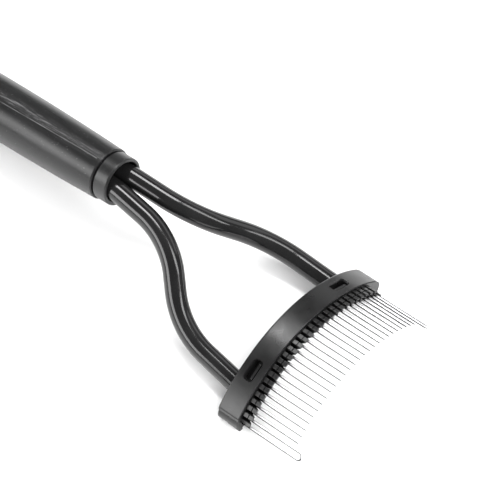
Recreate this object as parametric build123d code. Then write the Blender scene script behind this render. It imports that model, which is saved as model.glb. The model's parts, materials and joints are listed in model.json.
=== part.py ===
from build123d import *

import os
from math import asin, atan2, cos, degrees, radians, sin, sqrt

# Dematting comb: a barrel handle, a fork of two bent tubes and an arched head with a row of steel
# pins. Millimetres. The parts are drawn in the head's frame: +X is the way the pins point, Y runs
# across the head and the arch's axis is the X axis. The handle has a frame of its own: its axis is
# that frame's X axis and its zero is the front end of the grip. At the end everything is tilted
# about Y, so that the comb lies on its two feet and the rear end of its handle.

# pins
PIN_ROW_RADIUS = 63.8
PIN_STEP = 3.02
PIN_COUNT = 27
PIN_RADIUS = 0.65
PIN_REACH = 28.7
PIN_TIP_ROUND = 0.5
PIN_ROOT = -9.0
PIN_ROOT_AT_SOCKET = -3.8
LOOP_REACH = 33.4
LOOP_LEG_STEPS = (14, 15)

# head
SHELL_RADIUS = 69.3
SHELL_WALL = 2.2
HEAD_HALF_WIDTH = 48.3
HEAD_DEPTH = 12.2
BACK_WALL = 1.8
END_WALL = 2.0
ARCH_RADIUS = 59.0
BASE_THICKNESS = 1.6
FOOT_HEIGHT = 6.839
FOOT_PAD = 1.4
FRONT_RECESS = 0.6
SHOULDER_ROUND = 2.8
BACK_ROUND = 1.1
SIDE_BULGE_RADIUS = 4.6
SIDE_BULGE_Y = 45.0
SIDE_BULGE_Z = 46.3
FRONT_ROUND = 0.35

# windows of the shell, and the pocket with a latch bar under each
WINDOW_ANGLE = 25.3
WINDOW_LENGTH = 10.0
WINDOW_WIDTH = 4.3
WINDOW_CORNER = 1.2
WINDOW_BEVEL = 0.45
WINDOW_X = -6.0
POCKET_FLOOR = 65.3
LATCH_TOP = 68.3
LATCH_WIDTH = 1.5
LATCH_LENGTH = 8.0
LATCH_GAP = 0.3

# fingers between the pins, from the first to the last gap that has one, and the plain end blocks
FINGER_FIRST = -15
FINGER_LAST = 12
FINGER_WIDTH = 2.2
FINGER_REACH = 5.3
FINGER_TOP = 67.9
FINGER_EDGE_ROUND = 0.3
FINGER_FOOT = 61.0
FINGER_TIP = 1.0
END_BLOCK_START = 42.5
GROOVE_X = 2.9
GROOVE_WIDTH = 0.5
GROOVE_DEPTH = 0.6

# fork tubes
TUBE_RADIUS = 5.0
TUBE_WALL = 1.0
TUBE_SPACING = 5.05
TUBE_START = -40.0
TUBE_FIRST_BEND = 9.0
BEND_POINTS = ((-72.0, 7.75, 83.8), (-48.4, 31.3, 59.8))
BEND_RADII = (40.0, 40.0, 42.5)
TUBE_END = (-6.4, 34.3, 49.5)

# sockets of the head
SOCKET_RADIUS = 6.1
SOCKET_FLOOR = 1.0
SOCKET_PIN_RADIUS = 1.25
SOCKET_PIN_SETBACK = 2.3

# handle
HANDLE_X = -115.5
HANDLE_Z = 88.9
HANDLE_SLOPE = 2.4
GRIP_LENGTH = 126.0
GRIP_FRONT_RADIUS = 12.7
GRIP_MIDDLE_RADIUS = 14.0
GRIP_REAR_RADIUS = 13.0
GRIP_EDGE_ROUND = 0.7
LINER_RADIUS = 10.9
LINER_WALL = 0.8
LINER_FRONT = 7.2
LINER_REAR = -108.0
COLLAR_BACK = 1.1
COLLAR_FRONT = 8.4
COLLAR_RADIUS = 11.95
COLLAR_MOUTH_RADIUS = 10.3
WEDGE_FRONT = 2.6
WEDGE_LENGTH = 32.0
CROSS_PIN_RADIUS = 1.5
CROSS_PIN_X = -22.0

# rear cap with a hanging hole
CAP_LENGTH = 16.0
CAP_RADIUS = 12.6
CAP_END_ROUND = 4.0
CAP_SPIGOT = 14.0
CAP_WAIST = 11.0
HANG_HOLE_RADIUS = 3.0
HANG_HOLE_INSET = 8.0

# screws of the base
SCREW_ANGLE = 9.5
SCREW_X = -6.0
SCREW_HEAD_RADIUS = 2.2
SCREW_HEAD_HEIGHT = 1.2
SCREW_RADIUS = 1.1
SCREW_LENGTH = 3.9
SCREW_SEAT = 0.05

CUT = 200.0
CLEAR = 0.05

handle_frame = Location((HANDLE_X, 0, HANDLE_Z), (0, -HANDLE_SLOPE, 0))


def foot_rear_point():
    """Lower rear corner of a foot, as x and z."""
    shoulder = sqrt(SHELL_RADIUS**2 - HEAD_HALF_WIDTH**2)
    return -HEAD_DEPTH, shoulder - FOOT_HEIGHT


def rest_tilt():
    """Angle between the pins and the floor when the feet and the handle's rear end touch it."""
    slope = radians(HANDLE_SLOPE)
    along = -(GRIP_LENGTH + CAP_LENGTH - CAP_END_ROUND)
    down = CAP_RADIUS - CAP_END_ROUND
    round_x = HANDLE_X + along * cos(slope) + down * sin(slope)
    round_z = HANDLE_Z + along * sin(slope) - down * cos(slope)
    foot_x, foot_z = foot_rear_point()
    rise = round_z - foot_z
    run = foot_x - round_x
    distance = sqrt(rise**2 + run**2)
    return degrees(atan2(rise, run) - asin(CAP_END_ROUND / distance))


def around(angle):
    """Turns a shape drawn at the top of the arch to its place along it; +angle goes to +Y."""
    return Rot(-angle, 0, 0)


def along_x(sketch, start, end):
    """A sketch in the YZ plane, extruded from one X to another."""
    return extrude(Plane.YZ.offset(start) * sketch, end - start)


def arch(inner, outer, half_width, start, end):
    """A slice of the arch between two radii, cut off upright at both ends."""
    ring = Circle(outer) - Circle(inner)
    window = Pos(0, outer / 2) * Rectangle(2 * half_width, outer)
    return along_x(ring & window, start, end)


def above_floor(lift=0.0):
    """The half space above the floor that the feet stand on."""
    foot_x, foot_z = foot_rear_point()
    block = Pos(0, 0, CUT / 2 + lift) * Box(2 * CUT, 2 * CUT, CUT)
    return Pos(foot_x, 0, foot_z) * Rot(0, rest_tilt(), 0) * block


def tube_path(side):
    """Centre line of a fork tube; side is +1 or -1."""
    slope = radians(HANDLE_SLOPE)
    points = []
    for along in (TUBE_START, TUBE_FIRST_BEND):
        points.append((HANDLE_X + along * cos(slope), TUBE_SPACING, HANDLE_Z + along * sin(slope)))
    points += [*BEND_POINTS, TUBE_END]
    return FilletPolyline(*[(x, side * y, z) for x, y, z in points], radius=BEND_RADII)


def tube_end_frame(side):
    """Frame at a tube's end in the head, with its Z axis the way the tube runs into the head."""
    x_end, y_end, z_end = TUBE_END
    x_bend, y_bend, z_bend = BEND_POINTS[-1]
    heading = Vector(x_end - x_bend, side * (y_end - y_bend), z_end - z_bend)
    return Plane(origin=(x_end, side * y_end, z_end), x_dir=(0, 1, 0), z_dir=heading).location


def rod_at_tube_end(side, radius, back, front):
    """A rod on a tube's axis, from back to front of the tube's end."""
    return tube_end_frame(side) * Pos(0, 0, (back + front) / 2) * Cylinder(radius, front - back)


def socket_pin_place(side):
    """Frame of a socket pin, with its Z axis across the tube and level."""
    return tube_end_frame(side) * Pos(0, 0, -SOCKET_PIN_SETBACK) * Rot(0, 90, 0)


def cross_rod(side, radius, length):
    return socket_pin_place(side) * Cylinder(radius, length)


def make_fork_tube(side):
    path = tube_path(side)
    section = Circle(TUBE_RADIUS) - Circle(TUBE_RADIUS - TUBE_WALL)
    tube = sweep(Plane(path ^ 0) * section, path=path)
    tube -= cross_rod(side, SOCKET_PIN_RADIUS, 3 * TUBE_RADIUS)
    return tube - make_fork_cross_pin()


def window_cutter(angle):
    """A rounded rectangle with its long side along the arch, through the wall and a pocket under it."""
    outline = RectangleRounded(WINDOW_WIDTH, WINDOW_LENGTH, WINDOW_CORNER)
    return around(angle) * Pos(WINDOW_X, 0, POCKET_FLOOR) * extrude(outline, SHELL_RADIUS + 2 - POCKET_FLOOR)


def latch_bar(angle):
    """A bar with a rounded top that stands in a window's pocket, along its front side."""
    height = LATCH_TOP - POCKET_FLOOR + 1
    bar = Box(LATCH_WIDTH, LATCH_LENGTH, height, align=(Align.MAX, Align.CENTER, Align.MAX))
    bar = fillet(bar.edges().group_by(Axis.Z)[-1], 0.4)
    front = WINDOW_X + WINDOW_WIDTH / 2 - LATCH_GAP
    return around(angle) * Pos(front, 0, LATCH_TOP) * bar


def window_bevel(angle):
    """The sloped rim of a window, widest at the shell's outer face."""
    depth = 2 * WINDOW_BEVEL
    outline = RectangleRounded(WINDOW_WIDTH, WINDOW_LENGTH, WINDOW_CORNER)
    return around(angle) * Pos(WINDOW_X, 0, SHELL_RADIUS - depth) * extrude(outline, depth, taper=-30)


def outer_rim(shell, group):
    """Edges round the back (0) or front (-1) of the arch, without the one along its hollow side."""
    rim = shell.edges().group_by(Axis.X)[group]
    return rim.filter_by(lambda edge: edge.center().Z > rim.sort_by(Axis.Z)[0].center().Z + 1)


def back_slab(start, end):
    """Everything between two X values."""
    return Pos((start + end) / 2, 0, 0) * Box(end - start, CUT, CUT)


def side_bulge(side):
    """The rounded swelling of the arch's end face."""
    swelling = Pos(side * SIDE_BULGE_Y, SIDE_BULGE_Z) * Circle(SIDE_BULGE_RADIUS)
    return along_x(swelling, BACK_ROUND - HEAD_DEPTH, 0)


def make_head_shell():
    shell = arch(ARCH_RADIUS, SHELL_RADIUS, HEAD_HALF_WIDTH, -HEAD_DEPTH, 0)
    shoulders = shell.edges().filter_by(Axis.X).group_by(Axis.Z)[-1]
    shell = fillet(shoulders, SHOULDER_ROUND)
    shell = fillet(outer_rim(shell, 0), BACK_ROUND)
    shell = fillet(outer_rim(shell, -1), FRONT_ROUND)
    shell += side_bulge(1) + side_bulge(-1)
    shell = shell & above_floor()
    room = arch(ARCH_RADIUS - 1, SHELL_RADIUS - SHELL_WALL, HEAD_HALF_WIDTH - END_WALL, BACK_WALL - HEAD_DEPTH, 1)
    shell -= room
    for side in (1, -1):
        collar = rod_at_tube_end(side, SOCKET_RADIUS, -20, 4) & back_slab(-HEAD_DEPTH, BACK_WALL - HEAD_DEPTH)
        shell += collar
        shell -= rod_at_tube_end(side, TUBE_RADIUS, -30, 0)
        shell -= window_cutter(side * WINDOW_ANGLE)
        shell -= window_bevel(side * WINDOW_ANGLE)
    return shell


def make_head_base():
    """Lower cover of the arch, with the two tube sockets and the pads that close the feet."""
    half_width = HEAD_HALF_WIDTH - END_WALL
    front = -FRONT_RECESS
    back = BACK_WALL - HEAD_DEPTH
    cover = arch(ARCH_RADIUS, ARCH_RADIUS + BASE_THICKNESS, half_width, back, front)
    pads = arch(ARCH_RADIUS, SHELL_RADIUS - SHELL_WALL, half_width, back, front) - above_floor(FOOT_PAD)
    base = (cover + pads) & above_floor()
    for side in (1, -1):
        boss = rod_at_tube_end(side, SOCKET_RADIUS, -10, SOCKET_FLOOR) & back_slab(back, 10)
        base += boss
    for side in (1, -1):
        base -= rod_at_tube_end(side, TUBE_RADIUS, -30, 0)
        base -= cross_rod(side, SOCKET_PIN_RADIUS, 2 * SOCKET_RADIUS + 2)
        base -= screw_rod(side * SCREW_ANGLE, SCREW_RADIUS)
    return base


def screw_rod(angle, radius):
    """A rod through the base and into the carrier, on a base screw's axis."""
    rod = Cylinder(radius, SCREW_LENGTH, align=(Align.CENTER, Align.CENTER, Align.MIN))
    return around(angle) * Pos(SCREW_X, 0, ARCH_RADIUS - SCREW_SEAT) * rod


def make_base_screw(angle):
    head = Cylinder(SCREW_HEAD_RADIUS, SCREW_HEAD_HEIGHT, align=(Align.CENTER, Align.CENTER, Align.MAX))
    head = fillet(head.edges().group_by(Axis.Z)[0], 0.5)
    slot = Pos(0, 0, -SCREW_HEAD_HEIGHT) * (Box(2.6, 0.5, 1.0) + Box(0.5, 2.6, 1.0))
    head = around(angle) * Pos(SCREW_X, 0, ARCH_RADIUS - SCREW_SEAT) * (head - slot)
    return head + screw_rod(angle, SCREW_RADIUS)


def leg_angles():
    """Angles along the arch of every single pin, from -Y to +Y."""
    middle = (PIN_COUNT - 1) / 2
    return [(number - middle) * PIN_STEP for number in range(PIN_COUNT)]


def pin_root(angle):
    """Where a pin starts: short of the tube's socket where the two would meet."""
    reach = degrees(SOCKET_RADIUS / PIN_ROW_RADIUS)
    socket_angle = degrees(atan2(TUBE_END[1], TUBE_END[2]))
    near_socket = abs(abs(angle) - socket_angle) < reach
    return PIN_ROOT_AT_SOCKET if near_socket else PIN_ROOT


def pin_rod(angle, root, reach, radius):
    rod = along_x(Pos(0, PIN_ROW_RADIUS) * Circle(radius), root, reach)
    return around(angle) * rod


def make_pin(angle):
    rod = along_x(Pos(0, PIN_ROW_RADIUS) * Circle(PIN_RADIUS), pin_root(angle), PIN_REACH)
    return around(angle) * fillet(rod.edges().group_by(Axis.X)[-1], PIN_TIP_ROUND)


def make_end_loop(side):
    """A hairpin: two legs in the pin row, joined by a half circle in front of it."""
    inner, outer = (step * PIN_STEP for step in LOOP_LEG_STEPS)
    middle = (inner + outer) / 2
    half_gap = PIN_ROW_RADIUS * sin(radians(PIN_STEP / 2))
    height = PIN_ROW_RADIUS * cos(radians(PIN_STEP / 2))
    bend = LOOP_REACH - PIN_RADIUS - half_gap
    leg_in = Line((PIN_ROOT, -half_gap, height), (bend, -half_gap, height))
    turn = ThreePointArc(leg_in @ 1, (bend + half_gap, 0, height), (bend, half_gap, height))
    leg_out = Line(turn @ 1, (PIN_ROOT, half_gap, height))
    wire = Wire([leg_in, turn, leg_out])
    section = Plane(origin=leg_in @ 0, z_dir=(1, 0, 0)) * Circle(PIN_RADIUS)
    return around(side * middle) * sweep(section, path=wire)


def make_finger(angle):
    """A gusset with a thin square tip and a groove across its middle, stepped up in front of the shell."""
    root = -FRONT_RECESS - 1
    seat = SHELL_RADIUS - SHELL_WALL - CLEAR
    outline = Polyline(
        (root, FINGER_FOOT),
        (-FRONT_RECESS, FINGER_FOOT),
        (FINGER_REACH, FINGER_TOP - FINGER_TIP),
        (FINGER_REACH, FINGER_TOP),
        (0, FINGER_TOP),
        (0, seat),
        (root, seat),
        close=True,
    )
    side_face = Plane.XZ.offset(-FINGER_WIDTH / 2) * make_face(outline)
    finger = extrude(side_face, FINGER_WIDTH)
    long_edges = finger.edges().filter_by(Axis.X).group_by(Axis.Z)[-1]
    finger = fillet(long_edges, FINGER_EDGE_ROUND)
    groove = Pos(GROOVE_X, 0, FINGER_TOP) * Box(GROOVE_WIDTH, 2 * FINGER_WIDTH, 2 * GROOVE_DEPTH)
    return around(angle) * (finger - groove)


def end_block(side, inner, half_width):
    """Fills the front of the carrier flush with the shell, outside the last fingers."""
    ring = arch(inner, SHELL_RADIUS - SHELL_WALL, half_width, -FRONT_RECESS - 1, 0)
    keep = Pos(0, side * (END_BLOCK_START + CUT / 2), 0) * Box(CUT, CUT, CUT)
    return ring & keep & above_floor(FOOT_PAD)


def make_pin_carrier():
    """Block inside the arch that holds the pins, with a finger in every gap between two legs."""
    half_width = HEAD_HALF_WIDTH - END_WALL
    back = BACK_WALL - HEAD_DEPTH
    inner = ARCH_RADIUS + BASE_THICKNESS
    carrier = arch(inner, SHELL_RADIUS - SHELL_WALL, half_width, back, -FRONT_RECESS)
    carrier = carrier & above_floor(FOOT_PAD)
    for side in (1, -1):
        carrier -= window_cutter(side * WINDOW_ANGLE)
        carrier += latch_bar(side * WINDOW_ANGLE)
    for side in (1, -1):
        carrier -= rod_at_tube_end(side, SOCKET_RADIUS, -10, SOCKET_FLOOR)
        carrier -= screw_rod(side * SCREW_ANGLE, SCREW_RADIUS)
    carrier += end_block(1, inner, half_width)
    carrier += [make_finger((step + 0.5) * PIN_STEP) for step in range(FINGER_FIRST, FINGER_LAST + 1)]
    carrier = carrier & Box(CUT, 2 * half_width, CUT)
    for angle in leg_angles():
        carrier -= pin_rod(angle, pin_root(angle), PIN_REACH, PIN_RADIUS)
    for side in (1, -1):
        for step in LOOP_LEG_STEPS:
            carrier -= pin_rod(side * step * PIN_STEP, PIN_ROOT, PIN_REACH, PIN_RADIUS)
    return carrier


def make_socket_pin(side):
    pin = cross_rod(side, SOCKET_PIN_RADIUS, 2 * SOCKET_RADIUS)
    return pin & rod_at_tube_end(side, SOCKET_RADIUS - 0.15, -20, 5)


def turned(profile):
    """A body of revolution about the handle's axis, in the handle's frame."""
    return revolve(make_face(profile), Axis.X)


def handle_ring(inner, outer, start, end):
    return along_x(Circle(outer) - Circle(inner), start, end)


def make_handle_grip():
    """Hollow moulded sleeve, a little fatter in the middle than at its ends."""
    rear = -GRIP_LENGTH
    barrel = ThreePointArc((0, GRIP_FRONT_RADIUS), (rear / 2, GRIP_MIDDLE_RADIUS), (rear, GRIP_REAR_RADIUS))
    front_face = Line((0, LINER_RADIUS), (0, GRIP_FRONT_RADIUS))
    rear_face = Line((rear, GRIP_REAR_RADIUS), (rear, LINER_RADIUS))
    bore = Line((rear, LINER_RADIUS), (0, LINER_RADIUS))
    grip = turned([front_face, barrel, rear_face, bore])
    rim = grip.edges().filter_by(GeomType.CIRCLE).group_by(Axis.X)[-1].sort_by(SortBy.RADIUS)[-1]
    return handle_frame * fillet(rim, GRIP_EDGE_ROUND)


def make_handle_liner():
    liner = handle_ring(LINER_RADIUS - LINER_WALL, LINER_RADIUS, LINER_REAR, LINER_FRONT)
    return handle_frame * liner - make_fork_cross_pin()


def make_front_collar():
    """Ring over the liner's front end, with an inward lip round the mouth."""
    ring = handle_ring(LINER_RADIUS, COLLAR_RADIUS, COLLAR_BACK, COLLAR_FRONT)
    lip = handle_ring(COLLAR_MOUTH_RADIUS, COLLAR_RADIUS - 0.3, LINER_FRONT, COLLAR_FRONT)
    collar = ring + lip
    front = collar.edges().filter_by(GeomType.CIRCLE).group_by(Axis.X)[-1].sort_by(SortBy.RADIUS)
    collar = fillet(front[-1], 0.8)
    front = collar.edges().filter_by(GeomType.CIRCLE).group_by(Axis.X)[-1].sort_by(SortBy.RADIUS)
    return handle_frame * chamfer(front[0], 0.25)


def make_tube_wedge(side):
    """Fills the hollow between the two tubes on one side of them; side is +1 above, -1 below."""
    bore = Circle(LINER_RADIUS - LINER_WALL)
    keep = Pos(0, 6.5) * Rectangle(9.0, 8.6)
    outline = bore & keep
    for place in (TUBE_SPACING, -TUBE_SPACING):
        outline -= Pos(place, 0) * Circle(TUBE_RADIUS + CLEAR)
    wedge = along_x(outline, WEDGE_FRONT - WEDGE_LENGTH, WEDGE_FRONT)
    return handle_frame * (Rot(0 if side > 0 else 180, 0, 0) * wedge)


def make_fork_cross_pin():
    pin = Rot(90, 0, 0) * Cylinder(CROSS_PIN_RADIUS, 2 * LINER_RADIUS)
    pin = pin & (Rot(0, 90, 0) * Cylinder(LINER_RADIUS - CLEAR, 4 * CROSS_PIN_RADIUS))
    return handle_frame * Pos(CROSS_PIN_X, 0, 0) * pin


def make_rear_cap():
    """End cap with a spigot in the grip, two flat sides and a hanging hole across them."""
    front = -GRIP_LENGTH
    rear = front - CAP_LENGTH
    body = along_x(Circle(CAP_RADIUS), rear, front)
    body = fillet(body.edges().group_by(Axis.X)[0], CAP_END_ROUND)
    spigot = along_x(Circle(LINER_RADIUS), front, front + CAP_SPIGOT)
    shoulder = 3.0
    waist = Pos((rear + front - shoulder) / 2, 0, 0) * Box(CAP_LENGTH - shoulder, CAP_WAIST, 4 * CAP_RADIUS)
    ring = along_x(Circle(CAP_RADIUS), front - shoulder, front)
    body = (body & waist) + ring
    hole = Pos(rear + HANG_HOLE_INSET, 0, 0) * Rot(90, 0, 0) * Cylinder(HANG_HOLE_RADIUS, 4 * CAP_RADIUS)
    return handle_frame * (body + spigot - hole)


def build_parts():
    """Every piece by its node name, in the head's frame."""
    parts = {
        "handle_grip": make_handle_grip(),
        "handle_liner": make_handle_liner(),
        "front_collar": make_front_collar(),
        "rear_cap": make_rear_cap(),
        "tube_wedge_upper": make_tube_wedge(1),
        "tube_wedge_lower": make_tube_wedge(-1),
        "fork_cross_pin": make_fork_cross_pin(),
        "fork_tube_left": make_fork_tube(1),
        "fork_tube_right": make_fork_tube(-1),
        "head_shell": make_head_shell(),
        "head_base": make_head_base(),
        "pin_carrier": make_pin_carrier(),
        "socket_pin_left": make_socket_pin(1),
        "socket_pin_right": make_socket_pin(-1),
        "base_screw_left": make_base_screw(SCREW_ANGLE),
        "base_screw_right": make_base_screw(-SCREW_ANGLE),
        "end_loop_left": make_end_loop(1),
        "end_loop_right": make_end_loop(-1),
    }
    for number, angle in enumerate(leg_angles(), start=1):
        parts[f"pin_{number:02d}"] = make_pin(angle)
    return parts


def resting_place(parts):
    """Tilts the comb onto the floor and puts the bottom centre of its box at the origin."""
    tilt = Rot(0, -rest_tilt(), 0)
    boxes = [(tilt * part).bounding_box() for part in parts.values()]
    middle = (min(box.min.X for box in boxes) + max(box.max.X for box in boxes)) / 2
    floor = min(box.min.Z for box in boxes)
    return Pos(-middle, 0, -floor) * tilt


def main():
    os.makedirs("parts", exist_ok=True)
    parts = build_parts()
    place = resting_place(parts)
    for name, part in parts.items():
        export_step(place * part, f"parts/{name}.step")


main()
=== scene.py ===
import json
from math import cos, radians, sin

import bmesh
import bpy
from mathutils import Matrix, Vector


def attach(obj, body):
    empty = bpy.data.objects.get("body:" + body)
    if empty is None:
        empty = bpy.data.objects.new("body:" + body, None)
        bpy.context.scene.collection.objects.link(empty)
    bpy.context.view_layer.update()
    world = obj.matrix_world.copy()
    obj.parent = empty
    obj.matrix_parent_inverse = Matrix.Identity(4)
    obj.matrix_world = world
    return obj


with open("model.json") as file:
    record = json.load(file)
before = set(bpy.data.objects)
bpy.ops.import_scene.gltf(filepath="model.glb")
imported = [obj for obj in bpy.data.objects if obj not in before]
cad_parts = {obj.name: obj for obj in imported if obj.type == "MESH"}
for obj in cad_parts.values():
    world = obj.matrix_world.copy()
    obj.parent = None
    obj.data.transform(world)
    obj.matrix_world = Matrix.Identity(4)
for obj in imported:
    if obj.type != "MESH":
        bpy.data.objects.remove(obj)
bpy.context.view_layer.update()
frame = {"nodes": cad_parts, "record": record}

# Dematting comb on a pale floor. Metres, in the frame of the CAD model: the comb lies along +X on
# its two feet and the end of its grip.

# camera
VIEW_AZIMUTH = 40.79
VIEW_ELEVATION = 56.92
VIEW_TARGET = Vector((0.06804, 0.01261, 0.03))
VIEW_DISTANCE = 1.24835
LENS = 200.3
SENSOR = 36.0

# the point that the lights face, and how far the strips and the large panels are from it
AIM = Vector((0.06, 0.0, 0.02))
STRIP_DISTANCE = 1.4
STRIP_WIDTH = 0.26
SIDE_DISTANCE = 1.5
PANEL_DISTANCE = 1.6
WORLD_STRENGTH = 0.22

# side of the floor, and how light it is
FLOOR_SIZE = 6.0
FLOOR_GREY = 0.92

# the grip's axis leans back from level by this much
GRIP_LEAN = radians(8.948)

# the pins point up from level by this much; along them, the place where the fingers end, the length
# over which the painted shade between the fingers fades out from there, and how bright the pins'
# colour is left in that painted shade
PIN_LEAN = radians(6.549)
ROOT_SHADE_END = 0.1178
ROOT_SHADE_FADE = 0.0012
ROOT_SHADE_BRIGHTNESS = 0.01

# the direction that the pins' painted shade faces: their colour is painted dark on the side facing
# it, as shade and a dark reflection
PIN_SHADE_SIDE = (0.0, -0.88, -0.45)

# band of wear and painted highlight along the grip's top, beside the parting line: lighter
# scratches where the top light falls; its middle's Y, its half width and the share of that which is
# at full strength
WEAR_HIGHLIGHT_MIDDLE = -0.0016
WEAR_HIGHLIGHT_HALF_WIDTH = 0.0036
WEAR_HIGHLIGHT_CORE = 0.3

# parting line of the grip: how far it is turned from the top towards -Y at its two ends, its half
# width and height, how deep its edges lie under the grip's surface, the shares of the grip's
# length that it starts and ends at, and its number of stretches
LINE_TURN_REAR = radians(24.0)
LINE_TURN_FRONT = radians(13.0)
LINE_HALF_WIDTH = 0.00022
LINE_HEIGHT = 0.00011
LINE_SUNK = 0.00005
LINE_START = 0.012
LINE_END = 0.982
LINE_STEPS = 96

# radius of the grip's barrel at its rear, middle and front
REAR_RADIUS = 0.013
BELLY_RADIUS = 0.014
FRONT_RADIUS = 0.0127


# ---- camera, lights and floor ----

def view_direction(azimuth, elevation):
    a = radians(azimuth)
    e = radians(elevation)
    return Vector((sin(a) * cos(e), -cos(a) * cos(e), sin(e)))


def make_camera():
    data = bpy.data.cameras.new("camera")
    data.lens = LENS
    data.sensor_width = SENSOR
    data.clip_end = 20.0
    camera = bpy.data.objects.new("camera", data)
    camera.location = VIEW_TARGET + VIEW_DISTANCE * view_direction(VIEW_AZIMUTH, VIEW_ELEVATION)
    camera.rotation_euler = (radians(90 - VIEW_ELEVATION), 0, radians(VIEW_AZIMUTH))
    bpy.context.scene.collection.objects.link(camera)
    bpy.context.scene.camera = camera


def make_panel(name, direction, distance, width, height, power):
    """A rectangular soft light that faces the comb."""
    data = bpy.data.lights.new(name, "AREA")
    data.shape = "RECTANGLE"
    data.size = width
    data.size_y = height
    data.energy = power
    panel = bpy.data.objects.new(name, data)
    towards = Vector(direction).normalized()
    panel.location = AIM + distance * towards
    panel.rotation_euler = towards.to_track_quat("Z", "Y").to_euler()
    bpy.context.scene.collection.objects.link(panel)
    return panel


def make_strip(name, start, end, power):
    """A long soft light whose two ends are seen from the comb in the directions start and end."""
    first = Vector(start).normalized()
    last = Vector(end).normalized()
    towards = (first + last).normalized()
    long_way = (last - first).normalized()
    data = bpy.data.lights.new(name, "AREA")
    data.shape = "RECTANGLE"
    data.size = STRIP_DISTANCE * (last - first).length
    data.size_y = STRIP_WIDTH
    data.energy = power
    strip = bpy.data.objects.new(name, data)
    across = towards.cross(long_way).normalized()
    turn = Matrix((long_way, across, towards)).transposed().to_4x4()
    strip.matrix_world = Matrix.Translation(AIM + STRIP_DISTANCE * towards) @ turn
    bpy.context.scene.collection.objects.link(strip)


def make_lights():
    """Two strips for the streaks on the tubes, three panels, and a plain white world."""
    make_strip("rear_strip", (-0.62, 0.17, 0.77), (0.0, 0.2, 0.98), 10.5)
    make_strip("front_strip", (0.0, 0.24, 0.97), (0.78, 0.34, 0.56), 8.0)
    make_panel("side_light", (-0.56, -0.75, 0.36), SIDE_DISTANCE, 1.1, 0.65, 14.0)
    make_panel("back_light", (0.0, 0.9, 0.45), PANEL_DISTANCE, 1.8, 0.6, 4.0)
    fill = make_panel("fill_light", (0.75, -0.1, 0.66), PANEL_DISTANCE, 2.0, 1.6, 58.0)
    fill.visible_glossy = False
    world = bpy.data.worlds.new("studio")
    world.use_nodes = True
    background = world.node_tree.nodes["Background"]
    background.inputs["Color"].default_value = (1.0, 1.0, 1.0, 1.0)
    background.inputs["Strength"].default_value = WORLD_STRENGTH
    bpy.context.scene.world = world
    bpy.context.scene.view_settings.view_transform = "Standard"


def make_floor():
    mesh = bpy.data.meshes.new("floor")
    half = FLOOR_SIZE / 2
    corners = [(-half, -half, 0), (half, -half, 0), (half, half, 0), (-half, half, 0)]
    mesh.from_pydata(corners, [], [(0, 1, 2, 3)])
    floor = bpy.data.objects.new("floor", mesh)
    bpy.context.scene.collection.objects.link(floor)
    material, tree, shader = new_material("pale_floor")
    shader.inputs["Base Color"].default_value = (FLOOR_GREY, FLOOR_GREY, FLOOR_GREY, 1.0)
    shader.inputs["Roughness"].default_value = 0.9
    shader.inputs["Specular IOR Level"].default_value = 0.2
    mesh.materials.append(material)


# ---- material helpers ----

def new_material(name):
    material = bpy.data.materials.new(name)
    material.use_nodes = True
    tree = material.node_tree
    return material, tree, tree.nodes["Principled BSDF"]


def place_coordinates(tree, scale=(1, 1, 1), lean=0.0):
    """Object coordinates, turned about Y so that their X runs along a leaning axis, and scaled."""
    source = tree.nodes.new("ShaderNodeTexCoord")
    turn = tree.nodes.new("ShaderNodeMapping")
    turn.inputs["Rotation"].default_value = (0, lean, 0)
    stretch = tree.nodes.new("ShaderNodeMapping")
    stretch.inputs["Scale"].default_value = scale
    tree.links.new(source.outputs["Object"], turn.inputs["Vector"])
    tree.links.new(turn.outputs["Vector"], stretch.inputs["Vector"])
    return stretch.outputs["Vector"]


def noise(tree, coordinates, scale, detail=4.0, roughness=0.5):
    node = tree.nodes.new("ShaderNodeTexNoise")
    node.inputs["Scale"].default_value = scale
    node.inputs["Detail"].default_value = detail
    node.inputs["Roughness"].default_value = roughness
    tree.links.new(coordinates, node.inputs["Vector"])
    return node.outputs["Fac"]


def remap(tree, value, low, high, to_low, to_high):
    node = tree.nodes.new("ShaderNodeMapRange")
    node.inputs["From Min"].default_value = low
    node.inputs["From Max"].default_value = high
    node.inputs["To Min"].default_value = to_low
    node.inputs["To Max"].default_value = to_high
    tree.links.new(value, node.inputs["Value"])
    return node.outputs["Result"]


def combine(tree, operation, first, second=0.0):
    node = tree.nodes.new("ShaderNodeMath")
    node.operation = operation
    for socket, value in zip(node.inputs, (first, second)):
        if isinstance(value, (int, float)):
            socket.default_value = value
        else:
            tree.links.new(value, socket)
    return node.outputs["Value"]


def mix(tree, *parts):
    """Sum of values, each with its weight."""
    total = None
    for value, weight in parts:
        share = value if weight == 1.0 else combine(tree, "MULTIPLY", value, weight)
        total = share if total is None else combine(tree, "ADD", total, share)
    return total


def colour_ramp(tree, value, stops):
    node = tree.nodes.new("ShaderNodeValToRGB")
    ramp = node.color_ramp
    while len(ramp.elements) < len(stops):
        ramp.elements.new(0.5)
    for element, (position, grey) in zip(ramp.elements, stops):
        element.position = position
        element.color = (grey, grey, grey * 1.02, 1.0)
    tree.links.new(value, node.inputs["Fac"])
    return node.outputs["Color"]


def set_colour(tree, shader, value, *stops):
    """Base colour from a value: each stop is its place on the value's range and a grey."""
    tree.links.new(colour_ramp(tree, value, stops), shader.inputs["Base Color"])


def set_roughness(tree, shader, value, low, high):
    """Roughness from low to high as a noise goes through its middle range."""
    tree.links.new(remap(tree, value, 0.3, 0.7, low, high), shader.inputs["Roughness"])


def add_bump(tree, shader, height, strength, distance):
    node = tree.nodes.new("ShaderNodeBump")
    node.inputs["Strength"].default_value = strength
    node.inputs["Distance"].default_value = distance
    tree.links.new(height, node.inputs["Height"])
    tree.links.new(node.outputs["Normal"], shader.inputs["Normal"])


# ---- materials ----

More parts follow.
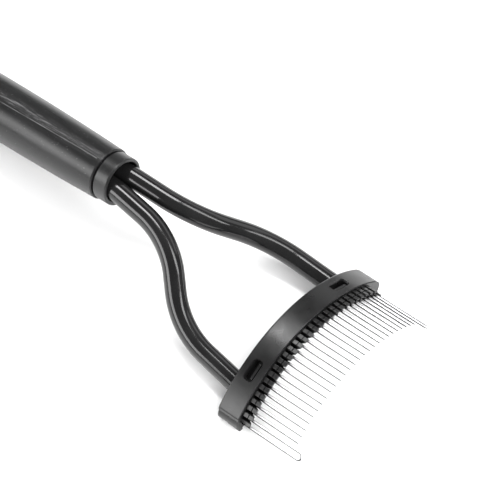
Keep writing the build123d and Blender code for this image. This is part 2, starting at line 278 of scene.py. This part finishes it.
def wear_and_highlight_band(tree, along):
    """Fine lengthwise scratches in a band just to the -Y side of the grip's top, painted lighter:
    wear, and a painted highlight where the top light falls.
    """
    source = tree.nodes.new("ShaderNodeTexCoord")
    split = tree.nodes.new("ShaderNodeSeparateXYZ")
    tree.links.new(source.outputs["Object"], split.inputs["Vector"])
    offset = combine(tree, "SUBTRACT", split.outputs["Y"], WEAR_HIGHLIGHT_MIDDLE)
    aside = combine(tree, "ABSOLUTE", offset)
    band = remap(tree, aside, WEAR_HIGHLIGHT_CORE * WEAR_HIGHLIGHT_HALF_WIDTH, WEAR_HIGHLIGHT_HALF_WIDTH, 1.0, 0.0)
    scratches = remap(tree, noise(tree, along, 1700.0, 5.0, 0.7), 0.47, 0.6, 0.0, 1.0)
    return combine(tree, "MULTIPLY", band, scratches)


def grip_plastic():
    """Satin black plastic, scuffed along its length, with a few specks of dust, and a band of
    lighter scratches beside its top that is wear and a painted highlight.
    """
    material, tree, shader = new_material("grip_plastic")
    along = place_coordinates(tree, (0.06, 1, 1), GRIP_LEAN)
    even = place_coordinates(tree)
    scuffs = noise(tree, along, 900.0, 5.0, 0.6)
    patches = noise(tree, along, 160.0, 3.0, 0.5)
    grain = noise(tree, even, 2600.0, 3.0, 0.5)
    specks = noise(tree, even, 1500.0, 1.0, 0.4)
    dust = remap(tree, specks, 0.70, 0.76, 0.0, 1.0)
    wear_and_highlight = wear_and_highlight_band(tree, along)
    tone = combine(tree, "MAXIMUM", mix(tree, (scuffs, 0.5), (patches, 0.5)), dust)
    # the band's lighter scratches: wear, and a painted highlight
    tone = mix(tree, (tone, 1.0), (wear_and_highlight, 0.4))
    set_colour(tree, shader, tone, (0.3, 0.005), (0.65, 0.013), (1.0, 0.10))
    gloss = remap(tree, scuffs, 0.3, 0.7, 0.27, 0.38)
    tree.links.new(mix(tree, (gloss, 1.0), (wear_and_highlight, 0.2)), shader.inputs["Roughness"])
    shader.inputs["Specular IOR Level"].default_value = 0.42
    add_bump(tree, shader, mix(tree, (scuffs, 0.7), (grain, 0.3), (wear_and_highlight, 0.8)), 0.25, 0.00005)
    return material


def line_plastic():
    """The grip's plastic on the parting line, paler than the rest, in streaks."""
    material, tree, shader = new_material("line_plastic")
    along = place_coordinates(tree, (0.1, 1, 1), GRIP_LEAN)
    pale_streaks = noise(tree, along, 1200.0, 4.0, 0.6)
    set_colour(tree, shader, pale_streaks, (0.35, 0.015), (0.65, 0.13))
    set_roughness(tree, shader, pale_streaks, 0.40, 0.60)
    return material


def collar_plastic():
    """Satin black plastic, streaked round the collar."""
    material, tree, shader = new_material("collar_plastic")
    round_it = place_coordinates(tree, (1.0, 0.25, 0.25), GRIP_LEAN)
    streaks = noise(tree, round_it, 1400.0, 4.0, 0.6)
    set_colour(tree, shader, streaks, (0.3, 0.006), (0.7, 0.014))
    set_roughness(tree, shader, streaks, 0.30, 0.42)
    add_bump(tree, shader, streaks, 0.2, 0.00005)
    return material


def head_plastic():
    """Moulded black plastic with soft flow marks."""
    material, tree, shader = new_material("head_plastic")
    even = place_coordinates(tree)
    grain = noise(tree, even, 3000.0, 3.0, 0.5)
    flow = noise(tree, even, 120.0, 3.0, 0.5)
    set_colour(tree, shader, flow, (0.3, 0.004), (0.7, 0.008))
    set_roughness(tree, shader, flow, 0.26, 0.36)
    add_bump(tree, shader, grain, 0.12, 0.00004)
    return material


def tube_enamel():
    """Gloss black enamel, slightly uneven."""
    material, tree, shader = new_material("tube_enamel")
    even = place_coordinates(tree)
    flow = noise(tree, even, 90.0, 2.0, 0.5)
    set_colour(tree, shader, flow, (0.3, 0.006), (0.7, 0.009))
    set_roughness(tree, shader, flow, 0.11, 0.17)
    add_bump(tree, shader, flow, 0.06, 0.0004)
    return material


def paint_root_shade(tree, tone):
    """Paints shade on the pins: fades their colour to black where they stand between the fingers.
    """
    split = tree.nodes.new("ShaderNodeSeparateXYZ")
    tree.links.new(place_coordinates(tree, (1, 1, 1), PIN_LEAN), split.inputs["Vector"])
    bright_from = ROOT_SHADE_END + ROOT_SHADE_FADE
    clear = remap(tree, split.outputs["X"], ROOT_SHADE_END, bright_from, ROOT_SHADE_BRIGHTNESS, 1.0)
    fade = tree.nodes.new("ShaderNodeVectorMath")
    fade.operation = "SCALE"
    tree.links.new(tone, fade.inputs[0])
    tree.links.new(clear, fade.inputs["Scale"])
    return fade.outputs["Vector"]


def polished_steel():
    """Bright drawn wire, with painted shade and painted dark reflections: its colour is painted
    dark along its lower -Y side, in a narrow strip on the opposite side, and between the fingers.
    """
    material, tree, shader = new_material("polished_steel")
    along = place_coordinates(tree, (0.05, 1, 1), PIN_LEAN)
    lines = noise(tree, along, 5000.0, 3.0, 0.5)
    surface = tree.nodes.new("ShaderNodeNewGeometry")
    facing = tree.nodes.new("ShaderNodeVectorMath")
    facing.operation = "DOT_PRODUCT"
    facing.inputs[1].default_value = PIN_SHADE_SIDE
    tree.links.new(surface.outputs["Normal"], facing.inputs[0])
    # painted shade and dark reflection: how much the surface faces the pins' shaded side sets how
    # dark its colour is painted, dark at both ends of the ramp and bright between
    side = remap(tree, facing.outputs["Value"], -1.0, 1.0, 0.0, 0.95)
    side = mix(tree, (side, 1.0), (lines, 0.05))
    greys = ((0.05, 0.02), (0.16, 0.85), (0.54, 0.95), (0.62, 0.25), (0.70, 0.005))
    # painted shade where the pins stand between the fingers
    tone = paint_root_shade(tree, colour_ramp(tree, side, greys))
    tree.links.new(tone, shader.inputs["Base Color"])
    shader.inputs["Metallic"].default_value = 0.4
    set_roughness(tree, shader, lines, 0.10, 0.20)
    return material


def plain_steel():
    """Plated steel of the screws."""
    material, tree, shader = new_material("plain_steel")
    even = place_coordinates(tree)
    grain = noise(tree, even, 1800.0, 3.0, 0.5)
    shader.inputs["Metallic"].default_value = 1.0
    set_colour(tree, shader, grain, (0.3, 0.38), (0.7, 0.5))
    set_roughness(tree, shader, grain, 0.30, 0.45)
    return material


def blackened_steel():
    """Dark steel of the pieces inside."""
    material, tree, shader = new_material("blackened_steel")
    even = place_coordinates(tree)
    grain = noise(tree, even, 1800.0, 3.0, 0.5)
    shader.inputs["Metallic"].default_value = 1.0
    set_colour(tree, shader, grain, (0.3, 0.012), (0.7, 0.03))
    set_roughness(tree, shader, grain, 0.40, 0.55)
    return material


def inner_plastic():
    """Nearly black plastic inside the collar."""
    material, tree, shader = new_material("inner_plastic")
    even = place_coordinates(tree)
    grain = noise(tree, even, 2200.0, 3.0, 0.5)
    set_colour(tree, shader, grain, (0.3, 0.002), (0.7, 0.005))
    set_roughness(tree, shader, grain, 0.35, 0.50)
    add_bump(tree, shader, grain, 0.15, 0.00005)
    return material


def dress_nodes():
    """Gives every CAD node the detailed material of its slot."""
    finishes = {
        "grip": grip_plastic(),
        "collar": collar_plastic(),
        "head": head_plastic(),
        "tube_enamel": tube_enamel(),
        "pin_steel": polished_steel(),
        "screw_steel": plain_steel(),
        "inner_steel": blackened_steel(),
        "inner_plastic": inner_plastic(),
    }
    for subpart in frame["record"]["subparts"]:
        node = frame["nodes"][subpart["node"]]
        node.data.materials.clear()
        node.data.materials.append(finishes[subpart["material_slot"]])


def grip_span(start, axis):
    """How far along the axis from start the grip's rear and front ends are."""
    mesh = frame["nodes"]["handle_grip"].data
    along = [(vertex.co - start).dot(axis) for vertex in mesh.vertices]
    return min(along), max(along)


def grip_radius(position):
    """Radius of the barrel at a share of its length from the rear, 0 to 1."""
    from_rear = REAR_RADIUS * (1 - position) * (1 - 2 * position)
    from_belly = 4 * BELLY_RADIUS * position * (1 - position)
    from_front = FRONT_RADIUS * position * (2 * position - 1)
    return from_rear + from_belly + from_front


def make_parting_line():
    """A low sharp ridge along the grip, just beside its top, where the mould closed."""
    axis = Vector((cos(GRIP_LEAN), 0, sin(GRIP_LEAN)))
    up = Vector((-sin(GRIP_LEAN), 0, cos(GRIP_LEAN)))
    side = axis.cross(up)
    hang_hole = Vector(frame["record"]["mounts"][0]["pos_m"])
    rear, front = grip_span(hang_hole, axis)
    profile = ((-LINE_HALF_WIDTH, -LINE_SUNK), (0.0, LINE_HEIGHT), (LINE_HALF_WIDTH, -LINE_SUNK))
    shape = bmesh.new()
    rings = []
    for step in range(LINE_STEPS + 1):
        share = LINE_START + (LINE_END - LINE_START) * step / LINE_STEPS
        centre = hang_hole + axis * (rear + share * (front - rear))
        radius = grip_radius(share)
        middle = LINE_TURN_REAR + share * (LINE_TURN_FRONT - LINE_TURN_REAR)
        ring = []
        for across, lift in profile:
            turn = middle + across / radius
            outward = up * cos(turn) + side * sin(turn)
            ring.append(shape.verts.new(centre + outward * (radius + lift)))
        rings.append(ring)
    for back, ahead in zip(rings, rings[1:]):
        for corner in range(len(profile)):
            after = (corner + 1) % len(profile)
            shape.faces.new((back[corner], back[after], ahead[after], ahead[corner]))
    shape.faces.new(rings[0])
    shape.faces.new(reversed(rings[-1]))
    bmesh.ops.recalc_face_normals(shape, faces=shape.faces)
    mesh = bpy.data.meshes.new("grip_parting_line")
    shape.to_mesh(mesh)
    shape.free()
    line = bpy.data.objects.new("grip_parting_line", mesh)
    bpy.context.scene.collection.objects.link(line)
    mesh.materials.append(line_plastic())
    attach(line, "root")


make_camera()
make_floor()
make_lights()
dress_nodes()
make_parting_line()
